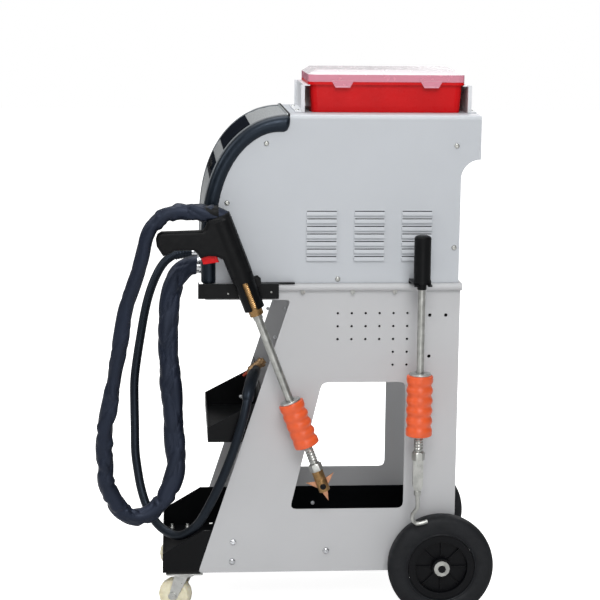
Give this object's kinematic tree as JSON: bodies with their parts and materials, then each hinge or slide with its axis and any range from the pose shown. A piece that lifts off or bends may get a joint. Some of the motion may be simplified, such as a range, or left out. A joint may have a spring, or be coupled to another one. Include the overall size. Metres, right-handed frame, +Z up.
{
  "type": "dent pulling spot welder",
  "caption": "Wheeled cart carrying a curved-front spot welding unit, a pistol gun with a slide weight, a pull hook tool, thick leads and a small parts box.",
  "frame": {"origin": "on the floor, under the middle of the bounding box of everything but the two leads and the ground clamp", "axes": "+Z up; -X is the front with the curved control panel and the casters; -Y is the left side, which carries the gun and the pull tool"},
  "size_m": [0.7465, 0.4404, 1.0256],
  "materials": {
    "cart_paint": "satin grey powder coat",
    "housing_paint": "satin cool light grey powder coat",
    "black_paint": "satin black powder coat",
    "black_plastic": "satin",
    "fan_plastic": "matte",
    "trim_plastic": "semi gloss blue black",
    "silver_panel": "silver film, satin",
    "dark_window": "smoked, glossy",
    "red_plastic": "semi gloss",
    "clear_plastic": "clear plastic, slightly pink",
    "orange_plastic": "satin",
    "steel": "zinc plated, brushed",
    "chrome": "polished",
    "brass": "machined",
    "copper": "bare copper, satin",
    "winding": "enamelled copper",
    "core_steel": "laminated steel, dull",
    "board": "circuit board green",
    "tyre": "matte",
    "nylon": "cream nylon",
    "sleeve": "navy woven sleeve",
    "lead_rubber": "matte"
  },
  "bodies": {
    "machine": {"left_side_plate": "cart_paint", "left_caster_plate": "steel", "right_side_plate": "cart_paint", "right_caster_plate": "steel", "top_deck": "cart_paint", "base_tray": "black_paint", "upper_tray": "black_paint", "rear_axle": "steel", "housing_cover": "housing_paint", "base_pan": "cart_paint", "rear_panel": "housing_paint", "front_panel": "silver_panel", "left_nose_trim": "trim_plastic", "right_nose_trim": "trim_plastic", "display_window": "dark_window", "keypad_window": "dark_window", "mains_gland": "black_plastic", "fan_frame": "fan_plastic", "transformer_core": "core_steel", "primary_winding": "winding", "secondary_winding": "winding", "power_board": "board", "gun_terminal": "chrome", "ground_terminal": "chrome", "box_front_bracket": "housing_paint", "box_rear_bracket": "housing_paint", "gun_left_shell": "black_plastic", "gun_right_shell": "black_plastic", "gun_nose": "brass", "gun_slide_rod": "steel", "electrode_holder": "brass", "star_bit": "copper", "gun_bracket": "black_paint", "tool_hanger": "black_paint", "ground_clamp": "brass", "gun_lead": "sleeve", "ground_lead": "lead_rubber"},
    "left_wheel": {"left_tyre": "tyre", "left_wheel_hub": "black_plastic"},
    "right_wheel": {"right_tyre": "tyre", "right_wheel_hub": "black_plastic"},
    "left_caster": {"left_caster_fork": "steel"},
    "left_caster_roller": {"left_caster_wheel": "nylon"},
    "right_caster": {"right_caster_fork": "steel"},
    "right_caster_roller": {"right_caster_wheel": "nylon"},
    "trigger": {"gun_trigger": "red_plastic"},
    "gun_weight": {"gun_slide_weight": "orange_plastic"},
    "pull_tool": {"tool_handle": "black_plastic", "tool_slide_rod": "steel", "pull_hook": "steel"},
    "pull_weight": {"tool_slide_weight": "orange_plastic"},
    "box": {"parts_box": "red_plastic"},
    "lid": {"parts_box_lid": "clear_plastic"},
    "latch_front": {"front_latch": "clear_plastic"},
    "latch_rear": {"rear_latch": "clear_plastic"},
    "mode_key": {"mode_button": "black_plastic"},
    "start_key": {"start_button": "black_plastic"},
    "power_key": {"power_button": "black_plastic"},
    "rocker": {"power_switch": "black_plastic"},
    "fan": {"fan_rotor": "fan_plastic"}
  },
  "joints": [
    {"name": "left_wheel_spin", "type": "hinge", "parent": "machine", "child": "left_wheel", "pos_m": [0.21669, -0.16557, 0.1], "axis": [0, 1, 0], "continuous": true},
    {"name": "right_wheel_spin", "type": "hinge", "parent": "machine", "child": "right_wheel", "pos_m": [0.21669, 0.19643, 0.1], "axis": [0, 1, 0], "continuous": true},
    {"name": "left_caster_swivel", "type": "hinge", "parent": "machine", "child": "left_caster", "pos_m": [-0.26631, -0.11257, 0.072], "axis": [0, 0, 1], "continuous": true},
    {"name": "left_caster_roll", "type": "hinge", "parent": "left_caster", "child": "left_caster_roller", "pos_m": [-0.28322, -0.10642, 0.032], "axis": [0.342, 0.9397, 0], "continuous": true},
    {"name": "right_caster_swivel", "type": "hinge", "parent": "machine", "child": "right_caster", "pos_m": [-0.26631, 0.14343, 0.072], "axis": [0, 0, 1], "continuous": true},
    {"name": "right_caster_roll", "type": "hinge", "parent": "right_caster", "child": "right_caster_roller", "pos_m": [-0.28322, 0.13727, 0.032], "axis": [-0.342, 0.9397, 0], "continuous": true},
    {"name": "gun_trigger_pull", "type": "slide", "parent": "machine", "child": "trigger", "axis": [-0.3584, 0, 0.9336], "range_m": [0, 0.006], "stiffness_N_per_m": 500, "springref_m": -0.002},
    {"name": "gun_weight_slide", "type": "slide", "parent": "machine", "child": "gun_weight", "axis": [-0.3584, 0, 0.9336], "range_m": [0, 0.162]},
    {"name": "pull_tool_withdraw", "type": "slide", "parent": "machine", "child": "pull_tool", "axis": [0, -1, 0], "range_m": [0, 0.06]},
    {"name": "pull_weight_slide", "type": "slide", "parent": "pull_tool", "child": "pull_weight", "axis": [0, 0, 1], "range_m": [0, 0.154]},
    {"name": "box_slide", "type": "slide", "parent": "machine", "child": "box", "axis": [0, -1, 0], "range_m": [0, 0.18]},
    {"name": "box_lid_hinge", "type": "hinge", "parent": "box", "child": "lid", "pos_m": [0.10969, 0.11393, 1.0036], "axis": [-1, 0, 0], "range_deg": [0, 110]},
    {"name": "front_latch_hinge", "type": "hinge", "parent": "lid", "child": "latch_front", "pos_m": [0.02719, -0.08077, 1.0061], "axis": [-1, 0, 0], "range_deg": [0, 100]},
    {"name": "rear_latch_hinge", "type": "hinge", "parent": "lid", "child": "latch_rear", "pos_m": [0.19219, -0.08077, 1.0061], "axis": [-1, 0, 0], "range_deg": [0, 100]},
    {"name": "power_switch_rock", "type": "hinge", "parent": "machine", "child": "rocker", "pos_m": [0.24269, -0.07457, 0.787], "axis": [0, 1, 0], "range_deg": [0, 20]},
    {"name": "fan_spin", "type": "hinge", "parent": "machine", "child": "fan", "pos_m": [0.23669, 0.01543, 0.732], "axis": [1, 0, 0], "continuous": true},
    {"name": "mode_button_press", "type": "slide", "parent": "machine", "child": "mode_key", "axis": [0.9261, 0, -0.3772], "range_m": [0, 0.0018], "stiffness_N_per_m": 500, "springref_m": -0.001},
    {"name": "start_button_press", "type": "slide", "parent": "machine", "child": "start_key", "axis": [0.9261, 0, -0.3772], "range_m": [0, 0.0018], "stiffness_N_per_m": 500, "springref_m": -0.001},
    {"name": "power_button_press", "type": "slide", "parent": "machine", "child": "power_key", "axis": [0.9261, 0, -0.3772], "range_m": [0, 0.0018], "stiffness_N_per_m": 500, "springref_m": -0.001}
  ]
}
